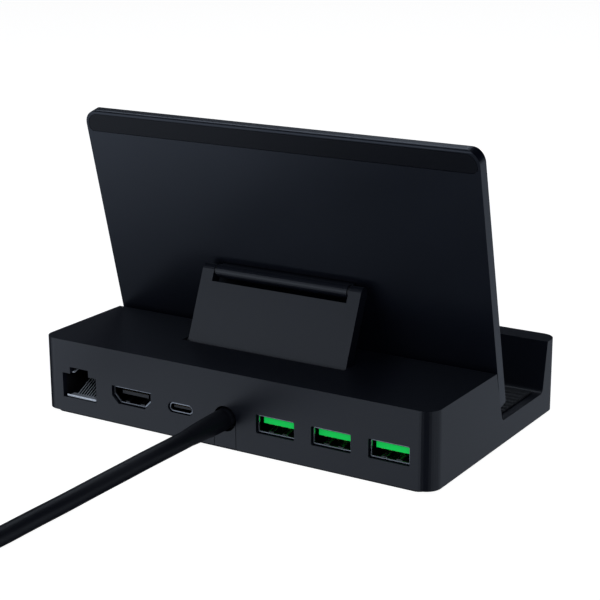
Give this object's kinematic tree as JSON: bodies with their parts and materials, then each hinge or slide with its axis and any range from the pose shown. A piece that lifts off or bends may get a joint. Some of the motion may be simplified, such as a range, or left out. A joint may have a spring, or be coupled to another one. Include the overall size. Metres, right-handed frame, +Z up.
{
  "type": "handheld console docking stand",
  "caption": "Fold-flat docking stand for a handheld games console: ribbed tray, tilting back panel on a hinged strut, rear sockets and a captive cable with a plug.",
  "frame": {"origin": "centre of the base's footprint, on the table", "axes": "+Z up, +Y towards the rear face with the sockets, +X along the base's width with the network socket on the +X side"},
  "size_m": [0.1602, 0.2389, 0.0974],
  "materials": {
    "case_plastic": "fine matte texture",
    "panel_coating": "smooth semi-gloss",
    "strip_gloss": "smooth gloss",
    "black_rubber": "soft matte",
    "cable_jacket": "satin jacket",
    "socket_plating": "bright nickel plating",
    "contact_gold": "gold plated",
    "green_plastic": "bright green moulding",
    "socket_plastic": "moulded",
    "steel": "zinc plated",
    "board_green": "solder mask",
    "chip_resin": "moulded resin",
    "aluminium": "mill finish"
  },
  "bodies": {
    "base": {"top_housing": "case_plastic", "bottom_cover": "case_plastic", "foot_mat": "black_rubber", "tray_pad": "black_rubber", "cable_exit_plate": "case_plastic", "main_board": "board_green", "hub_chip": "chip_resin", "network_transformer": "chip_resin", "heat_spreader": "aluminium", "ballast_plate": "steel", "cable_clamp": "socket_plastic", "cable_inner_lead": "cable_jacket", "network_jack_shell": "socket_plastic", "network_jack_contacts": "contact_gold", "video_socket_shell": "socket_plating", "video_socket_tongue": "socket_plastic", "power_socket_shell": "socket_plating", "power_socket_tongue": "socket_plastic", "usb_socket_shell_1": "socket_plating", "usb_socket_shell_2": "socket_plating", "usb_socket_shell_3": "socket_plating", "usb_socket_tongue_1": "green_plastic", "usb_socket_tongue_2": "green_plastic", "usb_socket_tongue_3": "green_plastic", "usb_socket_contacts_1": "contact_gold", "usb_socket_contacts_2": "contact_gold", "usb_socket_contacts_3": "contact_gold", "cover_screw_1": "steel", "cover_screw_2": "steel", "cover_screw_3": "steel", "cover_screw_4": "steel", "board_screw_1": "steel", "board_screw_2": "steel", "strut_hinge_rod": "steel", "rod_clip_left": "steel", "rod_clip_right": "steel", "strut_washer_left": "socket_plastic", "strut_washer_right": "socket_plastic", "strain_relief": "cable_jacket", "cable_lead": "cable_jacket", "cable_coil": "cable_jacket", "cable_tie": "black_rubber", "cable_tail": "cable_jacket", "plug_relief": "cable_jacket", "plug_body": "case_plastic", "plug_shell": "socket_plating"},
    "strut": {"strut_plate": "case_plastic", "panel_hinge_pin": "steel", "pin_cap_left": "case_plastic", "pin_cap_right": "case_plastic"},
    "panel": {"panel_back": "panel_coating", "panel_front": "case_plastic", "panel_grip_pad": "black_rubber", "panel_stiffener": "steel", "panel_top_strip": "strip_gloss", "panel_hinge_leaf": "case_plastic", "leaf_screw_1": "steel", "leaf_screw_2": "steel", "panel_washer_left": "socket_plastic", "panel_washer_right": "socket_plastic"}
  },
  "joints": [
    {"name": "strut_fold", "type": "hinge", "parent": "base", "child": "strut", "pos_m": [0, 0.0193, 0.0234], "axis": [1, 0, 0], "range_deg": [0, 48]},
    {"name": "panel_tilt", "type": "hinge", "parent": "strut", "child": "panel", "pos_m": [0, 0.00976, 0.04635], "axis": [1, 0, 0], "range_deg": [-124.6, 0]}
  ],
  "couplings": [
    {"joint": "panel_tilt", "follows": "strut_fold", "ratio": -2.5954}
  ]
}
